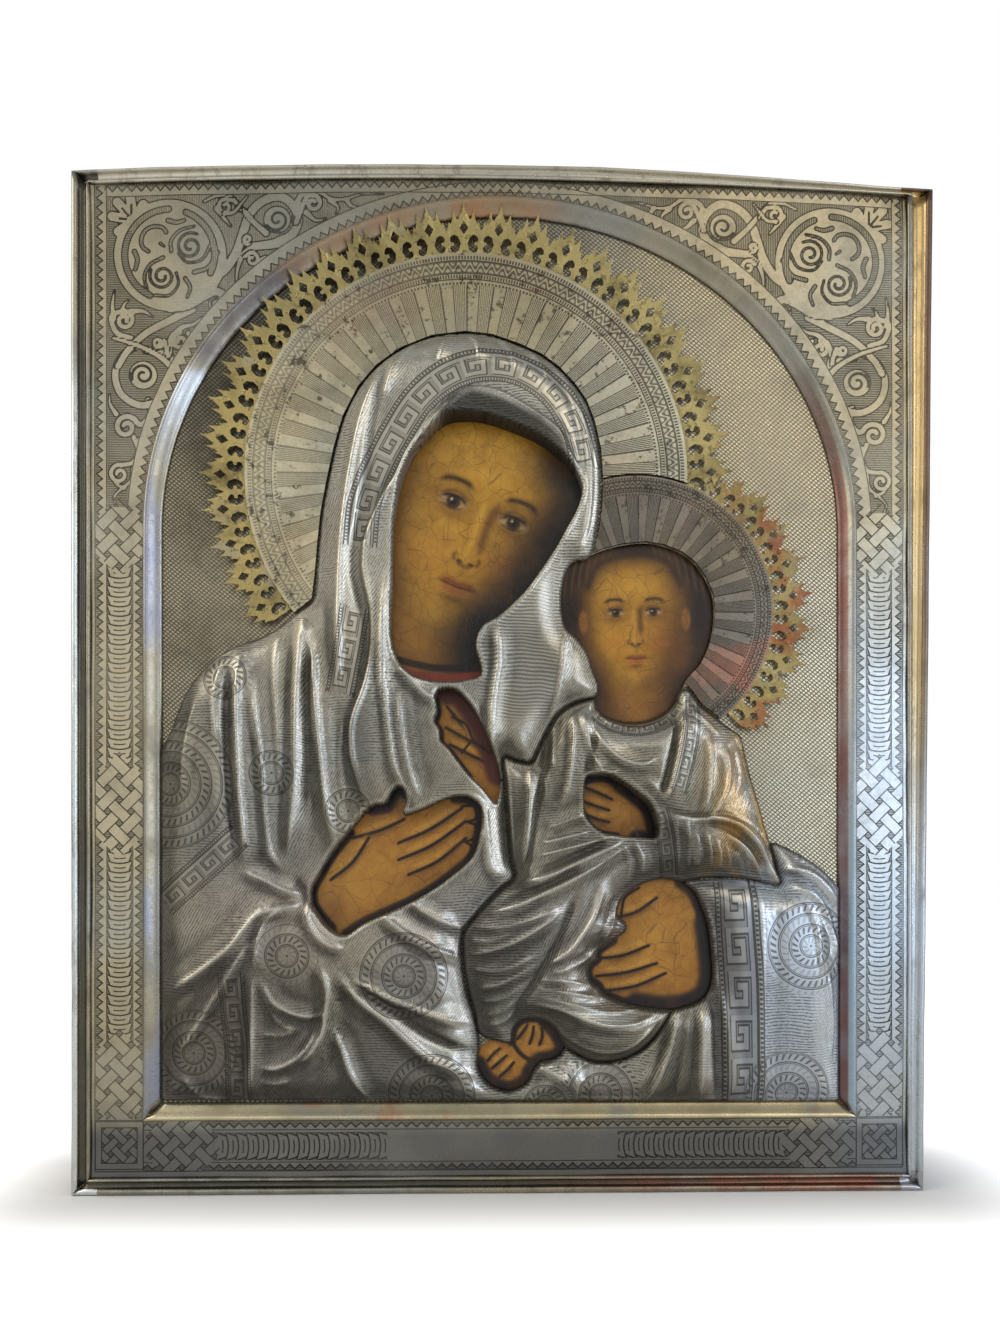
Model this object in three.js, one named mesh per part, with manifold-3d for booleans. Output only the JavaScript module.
// Silver oklad over a painted panel icon of a mother and child.
// X runs to the right as seen from the front, Z is up and the front faces -Y.
// "front" values below are distances from the middle of the boards towards the viewer.
import * as THREE from 'three';
import { mergeVertices } from 'three/addons/utils/BufferGeometryUtils.js';
import Module from 'manifold-3d';

const wasm = await Module();
wasm.setup();

// Cover: overall size, crowned top edge and sheet
const cover_width = 267;
const cover_height = 317;
const top_crown = 3.6;
const sheet = 0.6;
const strip_sheet = 0.7;
const seam = 0.3;
const overrun = 4;
const crown_steps = 8;

// Panel: boards, linen and gesso, from the back towards the front
const board_depth = 24;
const linen_thickness = 0.5;
const gesso_thickness = 1.5;
const paint_thickness = 0.3;
const board_joint_left_share = -0.165;
const board_joint_right_share = 0.18;

// Battens let into the back in tapered dovetails
const batten_mouth_width = 22;
const batten_root_width = 27;
const batten_taper = 4;
const batten_housing_depth = 7;
const batten_stand = 6;
const batten_end_margin = 17;
const batten_lower_share = 0.2;
const batten_upper_share = 0.78;
const batten_clearance = 0.3;

// Border plate and the strips folded round the edge of the panel
const border_rise = 1.4;
const border_lip = 0.6;
const side_reach = 5.9;
const top_reach = 3.4;
const border_inset_share = 0.83;
const skirt_back_margin = 0.4;
const nose_height = 2;
const ridge_height = 3;
const groove_height = 0.9;
const nose_underside = 0.7;
const nose_shoulder_share = 0.7;
const ridge_underside = 2.3;
const strip_point_shares = {
  ridge_outer: 0.885, ridge_inner: 0.76, slope_foot: 0.42, bead_inner: 0.35,
  bead_crest: 0.25, bead_outer: 0.14, groove_inner: 0.47, ridge_inner_foot: 0.78,
};

// Arch field, its moulding and the sill
const border_side_width = 27.6;
const border_foot_width = 29;
const border_top_width = 14.5;
const arch_rise_share = 0.928;
const arch_steps = 30;
const moulding_width = 5.6;
const moulding_height = 3.4;
const moulding_foot = 0.5;
const moulding_ridge_from_share = 0.7;
const moulding_ridge_to_share = 0.86;
const moulding_sheet = 0.6;
const mitre_gap = 0.2;
const border_under_moulding = 3.7;
const ground_under_moulding = 2.9;

// Relief of the two robes over the ground sheet
const robe_wall = 0.9;
const robe_edge_height = 1.7;
const robe_edge_fall = 9;
const relief_rise = 5.4;
const relief_pitch = 10;
const relief_ceiling = 16;
const fold_half_width = 2.6;
const fold_rise = 2.2;
const fold_sink = 2.5;
const fold_end_share = 0.12;
const fold_crest_share = 0.3;
const window_wall = 1;

// Painted patches and the windows of the ground sheet round them
const patch_margin = 0.7;
const window_margin = 1.1;

// Halo plates and their pierced gilt rims
const halo_lift = 1.6;
const halo_gap = 0.7;
const tongue_width = 3;
const tongue_clearance = 0.3;
const rim_under = 1.2;
const rim_drop = 0.3;
const rim_flare = 0.22;
const halo_sides = 72;
const mother_rim_repeats = 44;
const mother_halo_centre_px = [467, 475];
const mother_halo_px = 221;
const mother_rim_px = 44;
const mother_rim_ends = [217.5, -4];
const child_rim_repeats = 30;
const child_halo_centre_px = [638, 612];
const child_halo_px = 136;
const child_rim_px = 39;
const rims_meet_px = [630, 482];
const child_rim_ends = [72, -52];
const mother_tongue_angles = [150, 95, 40];
const child_tongue_angles = [100, 50, 0];

// Nails in the edge strips
const nail_head_radius = 1.7;
const nail_head_rise = 0.8;
const nail_shank_radius = 0.6;
const nail_length = 8;
const nail_clearance = 0.25;
const nail_sides = 8;
const nail_crown_width_share = 0.6;
const nail_crown_height_share = 0.8;
const side_nail_shares = [0.09, 0.36, 0.64, 0.91];
const top_nail_shares = [-0.68, 0, 0.68];

// Hanging ring and its plate at the back
const ring_wire_radius = 1;
const ring_radius = 9;
const barrel_bore = 1.7;
const barrel_radius = 2.5;
const barrel_width = 4;
const barrel_axis_share = 0.905;
const ring_plate_sheet = 0.8;
const ring_plate_width = 12;
const ring_plate_height = 17;
const ring_nail_shares = [0.42, 0.78];
const ring_plate_shoulder_share = 0.55;
const barrel_sides = 16;
const ring_steps = 28;
const ring_sides = 8;

// Photograph scale: columns and rows over the field, with the slight turn away to the right
const middle_column_px = 502.5;
const field_width_px = 677.8;
const field_height_px = 886.7;
const level_row_px = 880;
const level_over_sill_px = 222.1;
const turn_share = 0.01423;

const board_front = board_depth / 2;
const linen_front = board_front + linen_thickness;
const gesso_front = linen_front + gesso_thickness;
const paint_front = gesso_front + paint_thickness;
const ground_front = gesso_front + sheet;
const border_front = ground_front + border_rise;
const robe_back = ground_front + seam;
const panel_inset = strip_sheet + seam;
const half_width = cover_width / 2;
const field_half_width = half_width - border_side_width;
const sill_height = border_foot_width;
const field_top = cover_height + top_crown - border_top_width;
const arch_rise = field_half_width * arch_rise_share;
const springing_height = field_top - arch_rise;
const picture_scale = Math.min(
  2 * field_half_width / field_width_px, (field_top - sill_height) / field_height_px,
);

// Column and row of the photograph to x and z on the cover
function place([column_px, row_px]) {
  const offset_px = column_px - middle_column_px;
  const turned = 1 - turn_share * offset_px / field_width_px;
  const rise_px = (level_row_px - row_px) / turned;
  return [picture_scale * offset_px / turned, sill_height + (level_over_sill_px + rise_px) * picture_scale];
}

const places = (table_px) => table_px.map(place);

function signedArea(points) {
  let area = 0;
  points.forEach(([x, z], i) => {
    const [nx, nz] = points[(i + 1) % points.length];
    area += x * nz - nx * z;
  });
  return area / 2;
}

// Outline moved outwards by a margin, or inwards where the margin is negative
function grown(points, margin) {
  const side = Math.sign(signedArea(points));
  return points.map(([x, z], i) => {
    const [px, pz] = points[(i + points.length - 1) % points.length];
    const [nx, nz] = points[(i + 1) % points.length];
    const before = new THREE.Vector2(x - px, z - pz).normalize();
    const after = new THREE.Vector2(nx - x, nz - z).normalize();
    const along = before.clone().add(after).normalize();
    const stretch = Math.max(along.dot(after), 1 / Math.SQRT2);
    return [x + side * along.y * margin / stretch, z - side * along.x * margin / stretch];
  });
}

function shapeOf(points) {
  return new THREE.Shape(points.map(([x, z]) => new THREE.Vector2(x, z)));
}

// Flat piece standing in the plane of the cover between two front distances
function slab(outline, back, front, holes = []) {
  const shape = shapeOf(outline);
  shape.holes = holes.map((hole) => new THREE.Path(hole.map(([x, z]) => new THREE.Vector2(x, z))));
  const geometry = new THREE.ExtrudeGeometry(shape, { depth: front - back, bevelEnabled: false });
  geometry.rotateX(Math.PI / 2);
  geometry.translate(0, -back, 0);
  return geometry;
}

// Indexed geometry with its faces turned outwards
function outward(positions, triangles) {
  let volume = 0;
  const corner_at = (i) => new THREE.Vector3().fromArray(positions, triangles[i] * 3);
  for (let i = 0; i < triangles.length; i += 3) {
    volume += corner_at(i).dot(corner_at(i + 1).cross(corner_at(i + 2)));
  }
  const geometry = new THREE.BufferGeometry();
  geometry.setAttribute('position', new THREE.BufferAttribute(Float32Array.from(positions), 3));
  geometry.setIndex(volume < 0 ? Array.from(triangles).reverse() : Array.from(triangles));
  return geometry;
}

function solidOf(geometry) {
  const bare = geometry.clone();
  bare.deleteAttribute('normal');
  bare.deleteAttribute('uv');
  const merged = mergeVertices(bare);
  return new wasm.Manifold(new wasm.Mesh({
    numProp: 3,
    vertProperties: Float32Array.from(merged.attributes.position.array),
    triVerts: Uint32Array.from(merged.index.array),
  }));
}

function geometryOf(solid) {
  const mesh = solid.getMesh();
  const geometry = new THREE.BufferGeometry();
  geometry.setAttribute('position', new THREE.BufferAttribute(Float32Array.from(mesh.vertProperties), 3));
  geometry.setIndex(Array.from(mesh.triVerts));
  const flat = geometry.toNonIndexed();
  flat.computeVertexNormals();
  return flat;
}

// Biggest connected piece of a solid, without slivers or closed pockets
function largest(solid) {
  return solid.decompose().reduce((best, piece) => (piece.volume() > best.volume() ? piece : best));
}

// Solid through a row of rings of points, each ring with the same count; a closed row has no end caps
function ringSolid(rings, closed = false) {
  const count = rings[0].length;
  const positions = [];
  rings.forEach((ring) => ring.forEach((point) => positions.push(...point)));
  const triangles = [];
  const last = closed ? rings.length : rings.length - 1;
  for (let i = 0; i < last; i += 1) {
    const here = i * count;
    const next = ((i + 1) % rings.length) * count;
    for (let j = 0; j < count; j += 1) {
      const k = (j + 1) % count;
      triangles.push(here + j, next + j, next + k, here + j, next + k, here + k);
    }
  }
  if (!closed) {
    const flat = flattened(rings[0]);
    const order = signedArea(flat);
    const end = (rings.length - 1) * count;
    THREE.ShapeUtils.triangulateShape(flat.map(([u, v]) => new THREE.Vector2(u, v)), []).forEach((face) => {
      const [a, b, c] = signedArea(face.map((i) => flat[i])) * order > 0 ? face : [...face].reverse();
      triangles.push(a, b, c, end + c, end + b, end + a);
    });
  }
  return outward(positions, triangles);
}

function ringNormal(ring) {
  const normal = new THREE.Vector3();
  ring.forEach((point, i) => {
    const here = new THREE.Vector3(...point);
    normal.add(here.cross(new THREE.Vector3(...ring[(i + 1) % ring.length])));
  });
  return normal;
}

// A ring's own points seen along its steepest axis, for filling its end
function flattened(ring) {
  const normal = ringNormal(ring);
  const size = [Math.abs(normal.x), Math.abs(normal.y), Math.abs(normal.z)];
  const drop = size.indexOf(Math.max(...size));
  const keep = [0, 1, 2].filter((axis) => axis !== drop);
  return ring.map((point) => [point[keep[0]], point[keep[1]]]);
}

const silver = { color: 0x9a958a, roughness: 0.38, metalness: 0.9 };
const dark_silver = { color: 0x8b877d, roughness: 0.45, metalness: 0.88 };
const gilt = { color: 0xb5a468, roughness: 0.42, metalness: 0.88 };
const wood = { color: 0x6e4a2c, roughness: 0.8, metalness: 0 };
const batten_wood = { color: 0x5f3f26, roughness: 0.78, metalness: 0 };
const canvas = { color: 0xb9a888, roughness: 0.95, metalness: 0 };
const chalk = { color: 0xd8cfba, roughness: 0.9, metalness: 0 };
const flesh = { color: 0xa8762f, roughness: 0.42, metalness: 0 };
const brass = { color: 0x9c7f43, roughness: 0.45, metalness: 0.85 };
const iron = { color: 0x5d5952, roughness: 0.55, metalness: 0.8 };

const icon = new THREE.Group();

function add(name, geometry, look, parent = icon) {
  const mesh = new THREE.Mesh(geometry, new THREE.MeshStandardMaterial(look));
  mesh.name = name;
  parent.add(mesh);
  return mesh;
}

// Height of the cover's top edge, which is crowned because the boards have bowed
function topEdge(x, inset = 0) {
  return cover_height - inset + top_crown * (1 - (x / half_width) ** 2);
}

// Panel outline between two x values, with the crowned top
function panelOutline(left, right, bottom, top_inset) {
  const points = [[left, bottom], [right, bottom]];
  for (let i = 0; i <= crown_steps; i += 1) {
    const x = right + (left - right) * i / crown_steps;
    points.push([x, topEdge(x, top_inset)]);
  }
  return points;
}

// Arch field outline, moved outwards by a margin, anticlockwise from the lower left corner
function archOutline(margin) {
  const points = [];
  const side = field_half_width + margin;
  points.push([-side, sill_height - margin], [side, sill_height - margin]);
  for (let i = 0; i <= arch_steps; i += 1) {
    const angle = Math.PI * i / arch_steps;
    const rise = (arch_rise + margin) * Math.sin(angle);
    points.push([side * Math.cos(angle), springing_height + rise]);
  }
  return points;
}

// Boards: three planks on edge side by side, with the housings of both battens cut across them
const panel_left = panel_inset - half_width;
const panel_right = half_width - panel_inset;
const board_lines = [
  panel_left, cover_width * board_joint_left_share, cover_width * board_joint_right_share, panel_right,
];

// Dovetail bar lying along X behind the boards; grow widens it for the housing
function battenBar(height, from, to, narrow_end, grow, rise) {
  const section = (x, narrow) => {
    const mouth = (batten_mouth_width - (narrow ? batten_taper : 0)) / 2 + grow;
    const root = (batten_root_width - (narrow ? batten_taper : 0)) / 2 + grow;
    const deep = board_front - batten_housing_depth - grow;
    const proud = board_front + rise;
    return [
      [x, deep, height - root], [x, board_front, height - mouth], [x, proud, height - mouth],
      [x, proud, height + mouth], [x, board_front, height + mouth], [x, deep, height + root],
    ];
  };
  return ringSolid([section(from, narrow_end === 'left'), section(to, narrow_end === 'right')]);
}

const batten_heights = {
  lower: cover_height * batten_lower_share,
  upper: cover_height * batten_upper_share,
};
const batten_stop = panel_right - batten_end_margin;
const housings = [
  battenBar(batten_heights.lower, -batten_stop - batten_clearance, panel_right + overrun, 'left',
    batten_clearance, overrun),
  battenBar(batten_heights.upper, panel_left - overrun, batten_stop + batten_clearance, 'right',
    batten_clearance, overrun),
].map(solidOf);

// Round nail standing on a face: head dome outside and shank inside, along a given direction
function nailGeometry() {
  const profile = [
    [0, -nail_length], [nail_shank_radius, nail_shank_radius - nail_length], [nail_shank_radius, 0],
    [nail_head_radius, 0],
    [nail_head_radius * nail_crown_width_share, nail_head_rise * nail_crown_height_share],
    [0, nail_head_rise],
  ].map(([r, h]) => new THREE.Vector2(r, h));
  return new THREE.LatheGeometry(profile, nail_sides);
}

function nailHole() {
  const hole = new THREE.CylinderGeometry(
    nail_shank_radius + nail_clearance, nail_shank_radius + nail_clearance,
    nail_length + nail_clearance + overrun, nail_sides,
  );
  hole.translate(0, (overrun - nail_length - nail_clearance) / 2, 0);
  return hole;
}

// Where each edge nail stands and which way its head points
const nail_seats = [];
side_nail_shares.forEach((share, i) => {
  const z = cover_height * share;
  nail_seats.push({ name: `edge_nail_left_${i + 1}`, at: [-half_width, 0, z], turn: Math.PI / 2 });
  nail_seats.push({ name: `edge_nail_right_${i + 1}`, at: [half_width, 0, z], turn: -Math.PI / 2 });
});
top_nail_shares.forEach((share, i) => {
  const x = half_width * share;
  nail_seats.push({ name: `edge_nail_top_${i + 1}`, at: [x, 0, topEdge(x)], turn: 0 });
});

// Y axis of the nail turned to stand along X or along Z
function seated(geometry, seat, lift = 0) {
  const placed = geometry.clone();
  placed.translate(0, lift, 0);
  placed.rotateX(Math.PI / 2);
  placed.rotateY(-seat.turn);
  placed.translate(...seat.at);
  return placed;
}

const nail_holes = nail_seats.map((seat) => solidOf(seated(nailHole(), seat)));

function withoutAll(solid, tools) {
  return tools.reduce((rest, tool) => rest.subtract(tool), solid);
}

// Hanging ring: the middle of its barrel, behind the boards
const barrel_height = cover_height * barrel_axis_share;
const barrel_back = board_front + ring_plate_sheet + barrel_radius;
const ring_nail_seats = ring_nail_shares.map((share, i) => ({
  name: `ring_plate_nail_${i + 1}`,
  at: [0, board_front + ring_plate_sheet, barrel_height + ring_plate_height * share],
}));

// Y axis of the nail already points out of the back of the boards
function backNail(geometry, seat) {
  const placed = geometry.clone();
  placed.translate(...seat.at);
  return placed;
}
const ring_nail_holes = ring_nail_seats.map((seat) => solidOf(backNail(nailHole(), seat)));

['board_left', 'board_middle', 'board_right'].forEach((name, i) => {
  const outline = panelOutline(board_lines[i], board_lines[i + 1], panel_inset, panel_inset);
  const plank = solidOf(slab(outline, -board_front, board_front));
  add(name, geometryOf(withoutAll(plank, [...housings, ...nail_holes, ...ring_nail_holes])), wood);
});

add('batten_lower', battenBar(batten_heights.lower, -batten_stop, panel_right - seam, 'left', 0,
  batten_stand), batten_wood);
add('batten_upper', battenBar(batten_heights.upper, panel_left + seam, batten_stop, 'right', 0,
  batten_stand), batten_wood);

const panel_outline = panelOutline(panel_left, panel_right, panel_inset, panel_inset);
add('linen_layer', slab(panel_outline, board_front, linen_front), canvas);
add('gesso_ground', slab(panel_outline, linen_front, gesso_front), chalk);

// Windows through which the painting shows, as pixel outlines
const mother_face_px = [
  [450, 422], [468, 420], [485, 422], [502, 427], [520, 434], [536, 441], [550, 450], [562, 460],
  [571, 469], [578, 479], [582, 490], [580, 503], [574, 518], [566, 532], [558, 547], [549, 561],
  [538, 577], [525, 594], [512, 607], [498, 619], [484, 627], [477, 639], [476, 651], [480, 664],
  [481, 677], [466, 682], [448, 684], [428, 682], [412, 676], [402, 667], [396, 655], [393, 640],
  [392, 615], [393, 590], [393, 560], [394, 530], [398, 503], [402, 485], [409, 466], [419, 449],
  [434, 432],
];
const child_head_px = [
  [590, 557], [604, 551], [624, 546], [645, 544], [664, 547], [681, 554], [694, 564], [704, 578],
  [711, 594], [713, 612], [711, 632], [706, 649], [698, 664], [686, 677], [679, 692], [674, 702],
  [664, 711], [650, 717], [635, 720], [618, 718], [605, 713], [598, 706], [597, 697], [599, 686],
  [593, 670], [587, 652], [576, 637], [567, 628], [562, 612], [562, 592], [566, 574], [574, 563],
];
const mother_right_hand_px = [
  [372, 808], [386, 805], [392, 795], [399, 788], [405, 792], [407, 803], [404, 816], [422, 811],
  [441, 802], [456, 797], [469, 798], [480, 806], [482, 820], [479, 838], [473, 857], [456, 873],
  [436, 888], [412, 902], [388, 913], [366, 923], [347, 935], [331, 928], [320, 915], [313, 903],
  [313, 889], [321, 874], [333, 854], [350, 833],
];
const mother_left_hand_px = [
  [683, 882], [694, 891], [702, 907], [708, 925], [711, 946], [713, 975], [709, 992], [699, 1002],
  [682, 1008], [660, 1009], [638, 1006], [620, 1001], [604, 993], [599, 986], [591, 980],
  [589, 972], [592, 965], [598, 960], [599, 952], [614, 941], [627, 931], [626, 922], [618, 915],
  [620, 905], [627, 895], [640, 886], [660, 880],
];
const child_right_hand_px = [
  [447, 690], [457, 692], [468, 703], [479, 719], [487, 738], [494, 755], [500, 772], [500, 790],
  [496, 804], [484, 791], [469, 776], [458, 762], [449, 750], [441, 742], [440, 731], [435, 722],
  [438, 712], [436, 700], [439, 692],
];
const child_left_hand_px = [
  [584, 780], [594, 777], [607, 777], [622, 785], [638, 797], [648, 807], [654, 822], [654, 838],
  [638, 838], [618, 836], [601, 833], [590, 825], [583, 812],
];
const child_feet_px = [
  [512, 1043], [514, 1030], [523, 1021], [536, 1019], [548, 1023], [557, 1032], [564, 1047],
  [559, 1057], [549, 1061], [540, 1063], [532, 1073], [528, 1082], [518, 1089], [507, 1091],
  [495, 1087], [485, 1079], [478, 1066], [479, 1055], [486, 1046], [498, 1042],
];
const windows = {
  mother_face: places(mother_face_px),
  child_face: places(child_head_px),
  mother_right_hand: places(mother_right_hand_px),
  mother_left_hand: places(mother_left_hand_px),
  child_right_hand: places(child_right_hand_px),
  child_left_hand: places(child_left_hand_px),
  child_feet: places(child_feet_px),
};
Object.entries(windows).forEach(([name, outline]) => {
  add(`painted_${name}`, slab(grown(outline, patch_margin), gesso_front, paint_front), flesh);
});

// Robe outlines; the two share the line along which the child's robe lies on the mother's
const veil_px = [
  [161, 1101], [161, 752], [168, 738], [173, 725], [180, 706], [188, 690], [198, 676], [214, 660],
  [230, 650], [246, 643], [262, 637], [280, 627], [298, 613], [314, 600], [317, 575], [320, 540],
  [323, 512], [329, 480], [336, 448], [345, 417], [360, 388], [378, 367], [402, 350], [432, 338],
  [465, 334], [492, 337], [518, 346], [540, 356], [558, 369], [573, 385], [585, 402], [593, 423],
  [599, 450], [601, 480], [600, 508], [596, 535], [590, 557],
];
const veil_by_child_px = [
  [574, 562], [566, 573], [562, 592], [562, 612], [566, 628], [576, 637], [587, 652], [593, 670],
  [599, 686],
];
const shared_upper_px = [
  [596, 698], [583, 701], [570, 706], [559, 714], [551, 725], [544, 739], [537, 753], [531, 763], [516, 761],
  [503, 758], [505, 790], [508, 830], [511, 858], [514, 878], [502, 888], [488, 902], [475, 917],
  [464, 931], [462, 948], [464, 972], [468, 993], [474, 1013], [479, 1034],
];
const feet_below_px = [
  [480, 1050], [478, 1063], [482, 1076], [492, 1086], [507, 1091], [520, 1088], [529, 1081],
  [533, 1072], [541, 1062], [552, 1060], [561, 1055],
];
const feet_above_px = [
  [562, 1043], [556, 1031], [547, 1023], [536, 1019], [523, 1021], [514, 1030], [512, 1043],
  [498, 1042],
];
const shared_lower_px = [
  [566, 1048], [578, 1055], [592, 1061], [608, 1062], [626, 1058], [644, 1048], [659, 1032],
  [671, 1012],
];
const hand_right_px = [
  [682, 1008], [699, 1002], [709, 992], [713, 975], [711, 946], [708, 925], [702, 907], [694, 891],
];
const hand_left_px = [
  [660, 1009], [638, 1006], [620, 1001], [604, 993], [599, 986], [591, 980], [589, 972],
  [592, 965], [598, 960], [599, 952], [614, 941], [627, 931], [626, 922], [618, 915], [620, 905],
  [627, 895], [640, 886], [660, 880],
];
const shared_right_px = [[684, 882], [705, 879], [742, 879], [779, 885]];
const arm_px = [
  [776, 868], [770, 843], [790, 846], [808, 854], [824, 865], [838.5, 880], [838.5, 1101],
];
const child_collar_px = [
  [597, 708], [606, 716], [620, 721], [635, 722], [651, 719], [665, 712], [674, 703], [679, 692],
  [688, 689],
];
const child_side_px = [
  [701, 706], [715, 717], [728, 727], [741, 736], [746, 756], [751, 777], [758, 800], [765, 825],
  [770, 843], [776, 868],
];
const mother_outline = places([
  ...veil_px, ...veil_by_child_px, ...shared_upper_px, ...feet_below_px, ...shared_lower_px,
  ...hand_right_px, ...shared_right_px, ...arm_px,
]);
const child_outline = places([
  ...child_collar_px, ...child_side_px, ...[...shared_right_px].reverse(),
  ...[...hand_left_px].reverse(), ...[...shared_lower_px].reverse(), ...feet_above_px,
  ...[...shared_upper_px].reverse(),
]);

// Soft swellings of the relief: middle, spread across and up, turn, and share of the full rise
const mother_swells = [
  { at_px: [455, 430], spread_px: [150, 150], turn: 0, rise_share: 0.81 },
  { at_px: [250, 730], spread_px: [95, 110], turn: 0, rise_share: 0.59 },
  { at_px: [430, 770], spread_px: [120, 110], turn: 0, rise_share: 0.48 },
  { at_px: [330, 955], spread_px: [160, 60], turn: -0.15, rise_share: 0.59 },
  { at_px: [790, 960], spread_px: [80, 110], turn: 0, rise_share: 0.78 },
  { at_px: [400, 1060], spread_px: [160, 60], turn: 0, rise_share: 0.3 },
];
const child_swells = [
  { at_px: [640, 770], spread_px: [95, 85], turn: 0, rise_share: 0.96 },
  { at_px: [560, 920], spread_px: [120, 75], turn: -0.5, rise_share: 1 },
  { at_px: [720, 830], spread_px: [60, 70], turn: 0, rise_share: 0.44 },
  { at_px: [590, 1020], spread_px: [80, 40], turn: 0, rise_share: 0.59 },
];

function nearestEdge(x, z, outline) {
  let nearest = Infinity;
  for (let i = 0; i < outline.length; i += 1) {
    const [ax, az] = outline[i];
    const [bx, bz] = outline[(i + 1) % outline.length];
    const dx = bx - ax;
    const dz = bz - az;
    const along = THREE.MathUtils.clamp(((x - ax) * dx + (z - az) * dz) / (dx * dx + dz * dz), 0, 1);
    nearest = Math.min(nearest, Math.hypot(x - ax - dx * along, z - az - dz * along));
  }
  return nearest;
}

// Height of a robe over its foot: a rim along the outline, rising to the swellings inside it
function reliefHeight(swells, outline) {
  const lobes = swells.map(({ at_px, spread_px, turn, rise_share }) => {
    const [cx, cz] = place(at_px);
    const [wide, high] = spread_px.map((spread) => spread * picture_scale);
    return { cx, cz, wide, high, turn, rise: relief_rise * rise_share };
  });
  return (x, z) => {
    const full = lobes.reduce((sum, { cx, cz, wide, high, turn, rise }) => {
      const u = ((x - cx) * Math.cos(turn) + (z - cz) * Math.sin(turn)) / wide;
      const v = ((z - cz) * Math.cos(turn) - (x - cx) * Math.sin(turn)) / high;
      return sum + rise * Math.exp(-u * u - v * v);
    }, robe_edge_height);
    const inward_share = Math.min(nearestEdge(x, z, outline) / robe_edge_fall, 1);
    return robe_edge_height + full * inward_share * (2 - inward_share);
  };
}

// Block with a relief surface in front, over the whole box of an outline
function reliefBlock(height, outline, drop, back) {
  const xs = outline.map((point) => point[0]);
  const zs = outline.map((point) => point[1]);
  const left = Math.min(...xs) - relief_pitch / 2;
  const low = Math.min(...zs) - relief_pitch / 2;
  const columns = Math.ceil((Math.max(...xs) - left) / relief_pitch) + 1;
  const rows = Math.ceil((Math.max(...zs) - low) / relief_pitch) + 1;
  const positions = [];
  const triangles = [];
  for (let j = 0; j <= rows; j += 1) {
    for (let i = 0; i <= columns; i += 1) {
      const x = left + i * relief_pitch;
      const z = low + j * relief_pitch;
      positions.push(x, -(robe_back + height(x, z) - drop), z);
    }
  }
  const at = (i, j) => j * (columns + 1) + i;
  for (let j = 0; j < rows; j += 1) {
    for (let i = 0; i < columns; i += 1) {
      triangles.push(at(i, j), at(i + 1, j), at(i + 1, j + 1));
      triangles.push(at(i, j), at(i + 1, j + 1), at(i, j + 1));
    }
  }
  const edge = [];
  for (let i = 0; i < columns; i += 1) edge.push(at(i, 0));
  for (let j = 0; j < rows; j += 1) edge.push(at(columns, j));
  for (let i = columns; i > 0; i -= 1) edge.push(at(i, rows));
  for (let j = rows; j > 0; j -= 1) edge.push(at(0, j));
  const first = positions.length / 3;
  edge.forEach((corner) => positions.push(positions[corner * 3], -back, positions[corner * 3 + 2]));
  const middle = positions.length / 3;
  positions.push(left + columns * relief_pitch / 2, -back, low + rows * relief_pitch / 2);
  edge.forEach((corner, i) => {
    const next = (i + 1) % edge.length;
    triangles.push(corner, first + i, first + next, corner, first + next, edge[next]);
    triangles.push(first + i, middle, first + next);
  });
  return solidOf(outward(positions, triangles));
}

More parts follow.
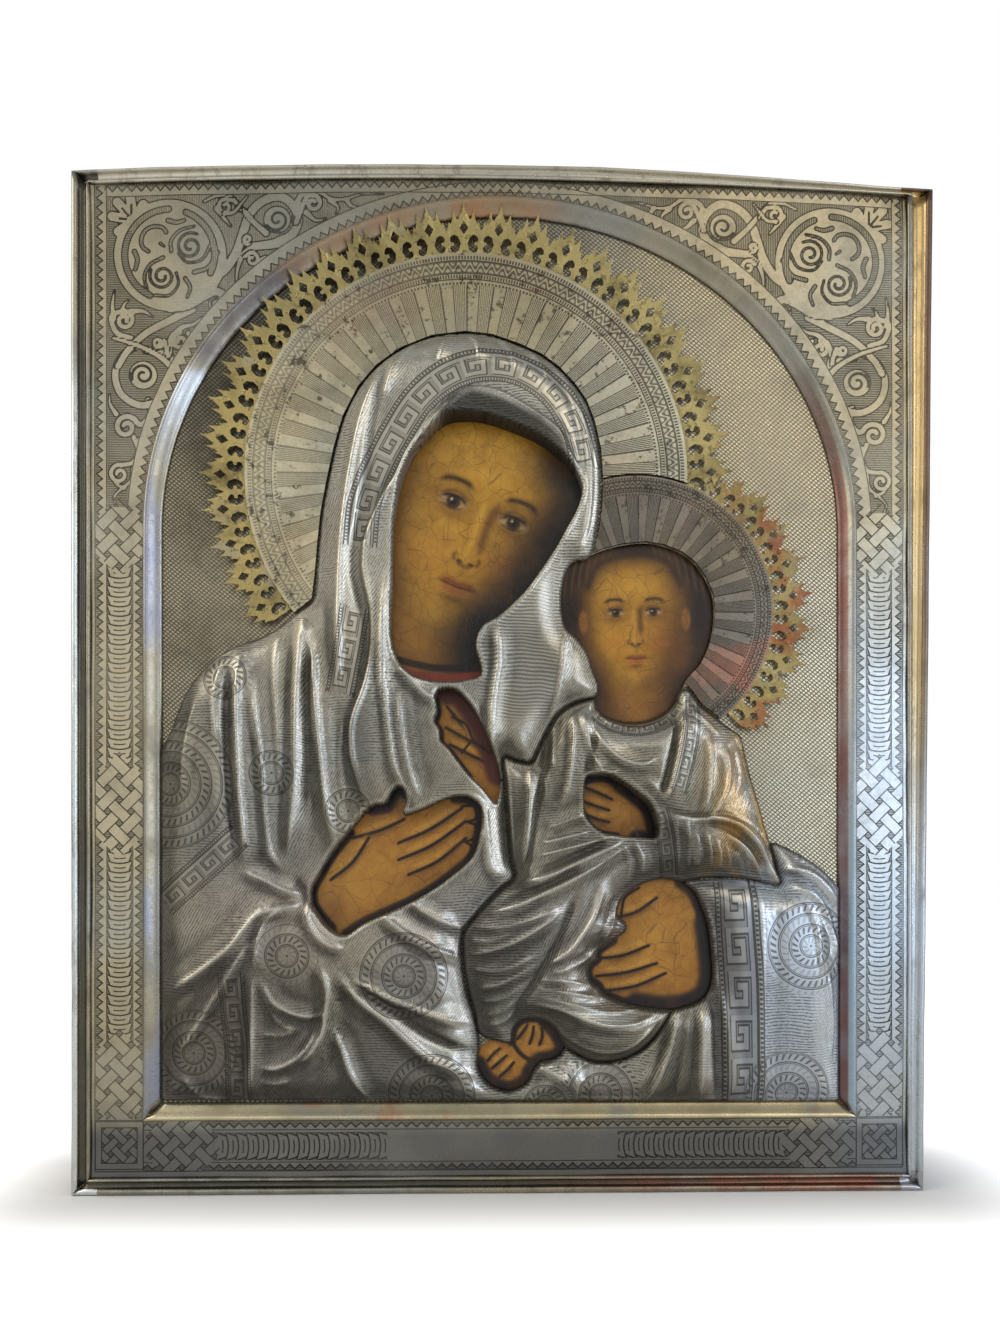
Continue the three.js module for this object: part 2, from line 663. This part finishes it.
// Fold lines of the robes as pixel points, each with its share of the broadest ridge
const broad_share = 1;
const plain_share = 0.75;
const thin_share = 0.53;
const mother_folds = [
  { share: broad_share, line_px: [[398, 357], [382, 378], [366, 420], [352, 480], [344, 540], [340, 600]] },
  { share: plain_share, line_px: [[416, 346], [402, 364], [392, 386], [387, 404]] },
  {
    share: plain_share,
    line_px: [[438, 428], [414, 450], [395, 484], [375, 522], [364, 552], [369, 600], [372, 640]],
  },
  { share: plain_share, line_px: [[370, 650], [362, 690], [351, 735], [353, 768], [366, 803]] },
  {
    share: thin_share,
    line_px: [[444, 412], [466, 398], [486, 396], [522, 411], [552, 430], [567, 452], [577, 470]],
  },
  { share: plain_share, line_px: [[556, 374], [574, 400], [586, 440], [590, 480], [588, 520], [580, 550]] },
  { share: plain_share, line_px: [[387, 580], [383, 645], [388, 700], [393, 755], [404, 785], [418, 806]] },
  { share: plain_share, line_px: [[338, 620], [341, 660], [339, 698]] },
  { share: broad_share, line_px: [[241, 665], [243, 740], [244, 800], [249, 858]] },
  { share: plain_share, line_px: [[257, 690], [264, 750], [268, 810], [278, 862], [292, 872]] },
  { share: broad_share, line_px: [[304, 630], [300, 700], [299, 760], [294, 815], [291, 862]] },
  { share: broad_share, line_px: [[318, 660], [322, 740], [327, 800], [337, 842]] },
  { share: plain_share, line_px: [[248, 872], [270, 883], [304, 894]] },
  { share: plain_share, line_px: [[295, 908], [272, 921], [262, 940], [258, 962]] },
  { share: plain_share, line_px: [[178, 990], [212, 966], [246, 934], [262, 914]] },
  { share: plain_share, line_px: [[184, 1048], [208, 1012], [230, 978], [246, 944]] },
  { share: plain_share, line_px: [[256, 978], [254, 1040], [251, 1096]] },
  { share: thin_share, line_px: [[268, 982], [284, 1003], [318, 1012]] },
  { share: thin_share, line_px: [[264, 1031], [280, 1033], [300, 1028]] },
  { share: thin_share, line_px: [[263, 1066], [285, 1064], [308, 1044]] },
  { share: broad_share, line_px: [[326, 968], [328, 1005], [322, 1040], [304, 1064]] },
  { share: plain_share, line_px: [[337, 1030], [352, 1070], [372, 1096]] },
  { share: broad_share, line_px: [[344, 976], [366, 1004], [396, 1031], [432, 1057], [474, 1075]] },
  { share: plain_share, line_px: [[350, 978], [386, 996], [428, 1012], [472, 1022]] },
  { share: broad_share, line_px: [[392, 922], [420, 941], [458, 957]] },
  { share: thin_share, line_px: [[412, 904], [436, 918], [460, 927]] },
  { share: plain_share, line_px: [[311, 910], [318, 934], [334, 946], [346, 947]] },
  { share: plain_share, line_px: [[487, 806], [489, 846], [500, 878]] },
  { share: plain_share, line_px: [[497, 632], [498, 664], [492, 706], [494, 752]] },
  { share: plain_share, line_px: [[564, 644], [560, 680], [550, 718]] },
  { share: thin_share, line_px: [[402, 672], [414, 690], [436, 703]] },
  { share: broad_share, line_px: [[780, 870], [806, 874], [826, 890], [836, 908]] },
  { share: plain_share, line_px: [[699, 1010], [700, 1055], [700, 1096]] },
  { share: plain_share, line_px: [[703, 900], [716, 940], [722, 1000], [728, 1094]] },
  { share: plain_share, line_px: [[748, 884], [756, 940], [757, 1010], [760, 1094]] },
  { share: plain_share, line_px: [[676, 1016], [668, 1056], [650, 1096]] },
];
const child_folds = [
  { share: thin_share, line_px: [[596, 712], [618, 727], [636, 730], [656, 725], [674, 706]] },
  { share: plain_share, line_px: [[582, 712], [586, 740], [600, 774]] },
  { share: plain_share, line_px: [[555, 724], [552, 770]] },
  { share: plain_share, line_px: [[573, 714], [571, 756], [563, 804]] },
  { share: plain_share, line_px: [[592, 724], [604, 750], [628, 766], [652, 762]] },
  { share: broad_share, line_px: [[683, 714], [676, 758], [664, 802]] },
  { share: plain_share, line_px: [[708, 736], [706, 780], [699, 816]] },
  { share: broad_share, line_px: [[722, 744], [725, 775], [716, 804], [704, 822]] },
  { share: broad_share, line_px: [[722, 822], [748, 836], [766, 862], [776, 880]] },
  { share: plain_share, line_px: [[722, 836], [744, 852], [760, 878]] },
  { share: thin_share, line_px: [[682, 824], [686, 868]] },
  { share: thin_share, line_px: [[692, 832], [697, 868]] },
  { share: thin_share, line_px: [[703, 834], [709, 870]] },
  { share: thin_share, line_px: [[714, 840], [718, 870]] },
  { share: plain_share, line_px: [[530, 768], [530, 820], [521, 872]] },
  { share: plain_share, line_px: [[508, 762], [512, 820], [515, 870]] },
  { share: plain_share, line_px: [[544, 832], [568, 822], [588, 816]] },
  { share: plain_share, line_px: [[536, 856], [572, 846], [606, 837]] },
  { share: broad_share, line_px: [[512, 884], [556, 874], [596, 855], [622, 842]] },
  { share: broad_share, line_px: [[484, 914], [524, 902], [570, 880], [604, 860], [630, 842]] },
  { share: plain_share, line_px: [[472, 925], [502, 926], [532, 918], [556, 908]] },
  { share: broad_share, line_px: [[467, 955], [500, 946], [532, 930], [558, 911]] },
  { share: plain_share, line_px: [[470, 968], [500, 968], [536, 953]] },
  { share: plain_share, line_px: [[476, 988], [506, 981], [532, 964]] },
  { share: thin_share, line_px: [[480, 1003], [502, 997], [518, 986]] },
  { share: plain_share, line_px: [[604, 892], [594, 920], [572, 950], [548, 964]] },
  { share: thin_share, line_px: [[616, 902], [606, 938], [584, 960], [552, 970]] },
  { share: plain_share, line_px: [[536, 978], [566, 980], [590, 985]] },
  { share: plain_share, line_px: [[534, 986], [570, 992], [602, 998]] },
  { share: broad_share, line_px: [[532, 1003], [566, 1010], [604, 1022], [636, 1021], [656, 1013]] },
  { share: broad_share, line_px: [[552, 1024], [580, 1044], [606, 1051], [632, 1045], [654, 1026]] },
  { share: thin_share, line_px: [[662, 812], [672, 840], [680, 872]] },
  { share: thin_share, line_px: [[640, 843], [646, 872]] },
];

// Ridge of folded sheet riding on the relief, thinning out at both ends
function foldBar({ share, line_px }, height) {
  const line = places(line_px);
  const half = fold_half_width * share;
  const rise = fold_rise * share;
  const rings = line.map(([x, z], i) => {
    const [ax, az] = line[Math.max(i - 1, 0)];
    const [bx, bz] = line[Math.min(i + 1, line.length - 1)];
    const length = Math.hypot(bx - ax, bz - az);
    const across = [(bz - az) / length, (ax - bx) / length];
    const end = i === 0 || i === line.length - 1;
    const size = end ? fold_end_share : 1;
    const wide = end ? half * (1 + fold_end_share) / 2 : half;
    const at = (offset, lift) => {
      const px = x + across[0] * offset;
      const pz = z + across[1] * offset;
      const level = end ? height(x, z) : height(px, pz);
      return [px, -(robe_back + level + lift), pz];
    };
    return [
      at(-wide, -fold_sink), at(-wide * fold_crest_share, rise * size),
      at(wide * fold_crest_share, rise * size), at(wide, -fold_sink),
    ];
  });
  return solidOf(ringSolid(rings));
}

function robe(name, outline, holes, swells, folds) {
  const height = reliefHeight(swells, outline);
  const ceiling = robe_back + relief_ceiling;
  const block = withoutAll(
    solidOf(slab(grown(outline, -seam / 2), robe_back, ceiling)),
    holes.map((hole) => solidOf(slab(hole, robe_back - overrun, ceiling + overrun))),
  );
  const hollow = withoutAll(
    solidOf(slab(grown(outline, -robe_wall), robe_back - overrun, ceiling)),
    holes.map((hole) => solidOf(slab(grown(hole, window_wall), robe_back - overrun, ceiling))),
  ).intersect(reliefBlock(height, outline, robe_wall, robe_back - overrun));
  const surface = folds.reduce(
    (rest, fold) => rest.add(foldBar(fold, height)),
    reliefBlock(height, outline, 0, robe_back),
  );
  add(name, geometryOf(largest(block.intersect(surface).subtract(hollow))), silver);
}

robe('mother_robe', mother_outline, [
  windows.mother_face, windows.mother_right_hand, windows.child_right_hand,
], mother_swells, mother_folds);
robe('child_robe', child_outline, [windows.child_left_hand], child_swells, child_folds);

// Halos: centre, plate radius, and the angles over which the pierced rim runs
const mother_halo = {
  centre: place(mother_halo_centre_px),
  radius: mother_halo_px * picture_scale,
  depth: mother_rim_px * picture_scale,
  ends: mother_rim_ends,
};
const child_halo = {
  centre: place(child_halo_centre_px),
  radius: child_halo_px * picture_scale,
  depth: child_rim_px * picture_scale,
  ends: child_rim_ends,
};

function disc({ centre }, radius) {
  const points = [];
  for (let i = 0; i < halo_sides; i += 1) {
    const angle = 2 * Math.PI * i / halo_sides;
    points.push([centre[0] + radius * Math.cos(angle), centre[1] + radius * Math.sin(angle)]);
  }
  return points;
}

function cutter(outline) {
  return solidOf(slab(outline, gesso_front - overrun, robe_back + relief_ceiling + overrun));
}

const plate_back = ground_front + halo_lift;
const plate_front = plate_back + sheet;
const robe_cutters = [
  cutter(grown(mother_outline, halo_gap)), cutter(grown(child_outline, halo_gap)),
];
const head_cutter = cutter(grown(windows.child_face, halo_gap));
const child_disc_cutter = cutter(disc(child_halo, child_halo.radius + halo_gap));

// Small foot under a halo plate that stands in a slot of the ground sheet
const tongue_places = {
  mother_halo: mother_tongue_angles.map((angle) => ({ halo: mother_halo, angle })),
  child_halo: child_tongue_angles.map((angle) => ({ halo: child_halo, angle })),
};
const tongue_radius_share = 0.9;
function tongueOutline({ halo, angle }, margin) {
  const turn = THREE.MathUtils.degToRad(angle);
  const reach = halo.radius * tongue_radius_share;
  const x = halo.centre[0] + reach * Math.cos(turn);
  const z = halo.centre[1] + reach * Math.sin(turn);
  const wide = tongue_width / 2 + margin;
  const thick = sheet / 2 + margin;
  return [[x - wide, z - thick], [x + wide, z - thick], [x + wide, z + thick], [x - wide, z + thick]];
}

function haloPlate(name, halo, cutters) {
  const whole = solidOf(slab(disc(halo, halo.radius), plate_back, plate_front));
  const foot = (tongue) => solidOf(slab(tongueOutline(tongue, 0), paint_front, plate_front));
  const footed = tongue_places[name].reduce(
    (rest, tongue) => rest.add(foot(tongue)), largest(withoutAll(whole, cutters)),
  );
  add(`${name}_plate`, geometryOf(footed), dark_silver);
}
haloPlate('mother_halo', mother_halo, [...robe_cutters, child_disc_cutter]);
haloPlate('child_halo', child_halo, [...robe_cutters, head_cutter]);

// Pierced crown work: crest outline and holes of one repeat, as shares of its turn and of the rim's depth
const half_turn = 0.5;
const crest_shares = [
  [-half_turn, 0.42], [-0.3, 0.66], [-0.14, 0.52], [0, 1], [0.14, 0.52], [0.3, 0.66], [half_turn, 0.42],
];
const eye_shares = [[0, 0.49], [0.08, 0.58], [0, 0.67], [-0.08, 0.58]];
const drop_shares = [[-0.07, 0.2], [0.05, 0.16], [0.07, 0.38], [-0.05, 0.42]];
const drop_turn_share = 0.25;

function haloRim(name, halo, repeats, cutters) {
  const step = 360 / repeats;
  const [from, to] = halo.ends;
  const count = Math.floor((from - to) / step);
  const polar = (turns, radius) => {
    const angle = THREE.MathUtils.degToRad(from - turns * step);
    return [halo.centre[0] + radius * Math.cos(angle), halo.centre[1] + radius * Math.sin(angle)];
  };
  const rim_front = plate_back - rim_drop;
  const units = [];
  for (let i = 0; i < count; i += 1) {
    const point = ([turn, depth], shift = 0) => polar(
      i + half_turn + turn + shift, halo.radius + depth * halo.depth,
    );
    const outline = [...crest_shares.map((share) => point(share)), polar(i + 1, halo.radius - rim_under)];
    const holes = [
      eye_shares.map((share) => point(share)),
      drop_shares.map((share) => point(share, -drop_turn_share)),
      drop_shares.map(([turn, depth]) => point([-turn, depth], drop_turn_share)).reverse(),
    ];
    const unit = slab([...outline, polar(i, halo.radius - rim_under)], rim_front - sheet, rim_front, holes);
    const position = unit.attributes.position;
    for (let j = 0; j < position.count; j += 1) {
      const reach = Math.hypot(position.getX(j) - halo.centre[0], position.getZ(j) - halo.centre[1]);
      position.setY(j, position.getY(j) - Math.max(reach - halo.radius, 0) * rim_flare);
    }
    units.push(solidOf(unit));
  }
  const rim = units.reduce((rest, unit) => rest.add(unit));
  add(name, geometryOf(largest(withoutAll(rim, cutters))), gilt);
}

// The two rims meet along a level line to the right of the mother's halo
const [meeting_x, meeting_height] = place(rims_meet_px);
function meetingBlock(low, high) {
  return cutter([[meeting_x, low], [half_width, low], [half_width, high], [meeting_x, high]]);
}
haloRim('mother_halo_rim', mother_halo, mother_rim_repeats, [
  ...robe_cutters, meetingBlock(0, meeting_height + seam),
]);
haloRim('child_halo_rim', child_halo, child_rim_repeats, [
  ...robe_cutters, meetingBlock(meeting_height - seam, cover_height),
]);

// Ground sheet of the arch field, open where the painting shows
const ground = withoutAll(
  solidOf(slab(archOutline(ground_under_moulding), gesso_front, ground_front)),
  [
    ...Object.values(windows).map((outline) => cutter(grown(outline, window_margin))),
    ...Object.values(tongue_places).flat().map((tongue) => cutter(tongueOutline(tongue, tongue_clearance))),
  ],
);
add('ground_sheet', geometryOf(largest(ground)), dark_silver);

// Border plate: raised sheet with lips turned down to the gesso outside and round the arch
const strip_reach = { side: side_reach, top: top_reach };
const border_inset = {
  side: side_reach * border_inset_share, top: top_reach * border_inset_share,
};
function borderOutline(margin) {
  return panelOutline(
    border_inset.side + margin - half_width, half_width - border_inset.side - margin,
    border_inset.side + margin, border_inset.top + margin,
  );
}
const border_hole = archOutline(border_under_moulding);
const border = solidOf(slab(borderOutline(0), gesso_front, border_front, [border_hole])).subtract(
  solidOf(slab(
    borderOutline(border_lip), gesso_front - overrun, border_front - sheet,
    [archOutline(border_under_moulding + border_lip)],
  )),
);
add('border_sheet', geometryOf(border), silver);

// Section of an edge strip: inset from the outer face and front distance, for a given reach
function stripSection(reach) {
  const p = strip_point_shares;
  const flank = gesso_front + groove_height;
  return [
    [reach, border_front + seam], [reach * p.ridge_outer, gesso_front + ridge_height],
    [reach * p.ridge_inner, gesso_front + ridge_height], [reach * p.slope_foot, flank],
    [reach * p.bead_inner, gesso_front + nose_height * nose_shoulder_share],
    [reach * p.bead_crest, gesso_front + nose_height],
    [reach * p.bead_outer, gesso_front + nose_height], [0, gesso_front + nose_height / 2],
    [0, skirt_back_margin - board_front], [strip_sheet, skirt_back_margin - board_front],
    [strip_sheet, gesso_front + nose_underside], [reach * p.bead_crest, gesso_front + nose_height / 2],
    [reach * p.slope_foot, gesso_front + seam], [reach * p.groove_inner, gesso_front + seam],
    [reach * p.ridge_inner_foot, gesso_front + ridge_underside],
  ];
}
const side_section = stripSection(strip_reach.side);
const top_section = stripSection(strip_reach.top);

function stripRing(corner_x, edge, shift_x, shift_z) {
  return side_section.map(([side_inset, front], i) => {
    const x = corner_x * (half_width - side_inset) + shift_x;
    const z = edge === 'bottom' ? side_inset : topEdge(corner_x * half_width, top_section[i][0]);
    return [x, -front, z + shift_z];
  });
}

function stripAlongTop() {
  const rings = [];
  for (let i = 0; i <= crown_steps; i += 1) {
    const run = 1 - 2 * i / crown_steps;
    if (Math.abs(run) === 1) {
      rings.push(stripRing(run, 'top', -run * mitre_gap, 0));
    } else {
      rings.push(top_section.map(([inset, front]) => [
        run * half_width, -front, topEdge(run * half_width, inset),
      ]));
    }
  }
  return ringSolid(rings);
}

const strips = {
  edge_strip_left: ringSolid([
    stripRing(-1, 'bottom', 0, mitre_gap), stripRing(-1, 'top', 0, -mitre_gap),
  ]),
  edge_strip_right: ringSolid([
    stripRing(1, 'bottom', 0, mitre_gap), stripRing(1, 'top', 0, -mitre_gap),
  ]),
  edge_strip_bottom: ringSolid([
    stripRing(-1, 'bottom', mitre_gap, 0), stripRing(1, 'bottom', -mitre_gap, 0),
  ]),
  edge_strip_top: stripAlongTop(),
};
Object.entries(strips).forEach(([name, geometry]) => {
  add(name, geometryOf(withoutAll(solidOf(geometry), nail_holes)), silver);
});

// Moulding section: distance outwards from the field's edge and front distance
function mouldingSection() {
  const w = moulding_width;
  const foot = ground_front + seam;
  const crest = foot + moulding_height;
  const seat = border_front + seam;
  const t = moulding_sheet;
  const from = w * moulding_ridge_from_share;
  const to = w * moulding_ridge_to_share;
  return [
    [0, foot], [0, foot + moulding_foot], [from, crest], [to, crest], [w, seat + t], [w, seat],
    [w - t, seat], [to - t / 2, crest - t], [from + t / 2, crest - t], [t, foot],
  ];
}

const moulding_section = mouldingSection();
const corner = [field_half_width, sill_height];

function archRings() {
  const rings = [];
  const side_ring = (side, z_of) => moulding_section.map(([out, front]) => [
    side * (corner[0] + out), -front, z_of(out),
  ]);
  rings.push(side_ring(1, (out) => corner[1] - out + mitre_gap * 2));
  for (let i = 0; i <= arch_steps; i += 1) {
    const angle = Math.PI * i / arch_steps;
    rings.push(moulding_section.map(([out, front]) => [
      (field_half_width + out) * Math.cos(angle), -front,
      springing_height + (arch_rise + out) * Math.sin(angle),
    ]));
  }
  rings.push(side_ring(-1, (out) => corner[1] - out + mitre_gap * 2));
  return rings;
}
add('arch_moulding', geometryOf(solidOf(ringSolid(archRings()))), silver);
add('sill_moulding', geometryOf(solidOf(ringSolid([-1, 1].map((side) => moulding_section.map(
  ([out, front]) => [side * (corner[0] + out), -front, corner[1] - out],
))))), gilt);

// Edge nails
nail_seats.forEach((seat) => {
  add(seat.name, seated(nailGeometry(), seat), iron);
});

// Ring plate: a sheet folded round the ring to make its barrel, nailed to the back
function barrelRod(radius, half) {
  const ring = [];
  for (let i = 0; i < barrel_sides; i += 1) {
    const angle = 2 * Math.PI * i / barrel_sides;
    ring.push([barrel_back + radius * Math.cos(angle), barrel_height + radius * Math.sin(angle)]);
  }
  return solidOf(ringSolid([-half, half].map((x) => ring.map(([y, z]) => [x, y, z]))));
}
const neck_half = barrel_width / 2;
const plate_half = ring_plate_width / 2;
const plate_top = barrel_height + ring_plate_height;
const plate_shoulder = barrel_height + ring_plate_height * ring_plate_shoulder_share;
const neck_top = barrel_height + barrel_radius;
const ring_plate = solidOf(slab([
  [-neck_half, barrel_height], [neck_half, barrel_height], [plate_half, neck_top],
  [plate_half, plate_shoulder], [neck_half / 2, plate_top], [-neck_half / 2, plate_top],
  [-plate_half, plate_shoulder], [-plate_half, neck_top],
], -board_front - ring_plate_sheet, -board_front));
const barrel_neck = solidOf(slab([
  [-neck_half, barrel_height], [neck_half, barrel_height], [neck_half, neck_top], [-neck_half, neck_top],
], -barrel_back, -board_front - ring_plate_sheet / 2));
add('ring_plate', geometryOf(withoutAll(
  ring_plate.add(barrel_neck).add(barrelRod(barrel_radius, neck_half)),
  [barrelRod(barrel_bore, barrel_width), ...ring_nail_holes],
)), brass);
ring_nail_seats.forEach((seat) => {
  add(seat.name, backNail(nailGeometry(), seat), brass);
});

// Ring hanging from the barrel's bore, round wire
const ring_rings = [];
for (let i = 0; i < ring_steps; i += 1) {
  const angle = 2 * Math.PI * i / ring_steps;
  const ring = [];
  for (let j = 0; j < ring_sides; j += 1) {
    const turn = 2 * Math.PI * j / ring_sides;
    const reach = ring_radius + ring_wire_radius * Math.cos(turn);
    ring.push([
      reach * Math.sin(angle), ring_wire_radius * Math.sin(turn),
      reach * Math.cos(angle) - ring_radius,
    ]);
  }
  ring_rings.push(ring);
}
const ring_pivot = new THREE.Group();
ring_pivot.position.set(0, barrel_back, barrel_height);
icon.add(ring_pivot);
add('hanging_ring', geometryOf(solidOf(ringSolid(ring_rings, true))), brass, ring_pivot);

export default icon;
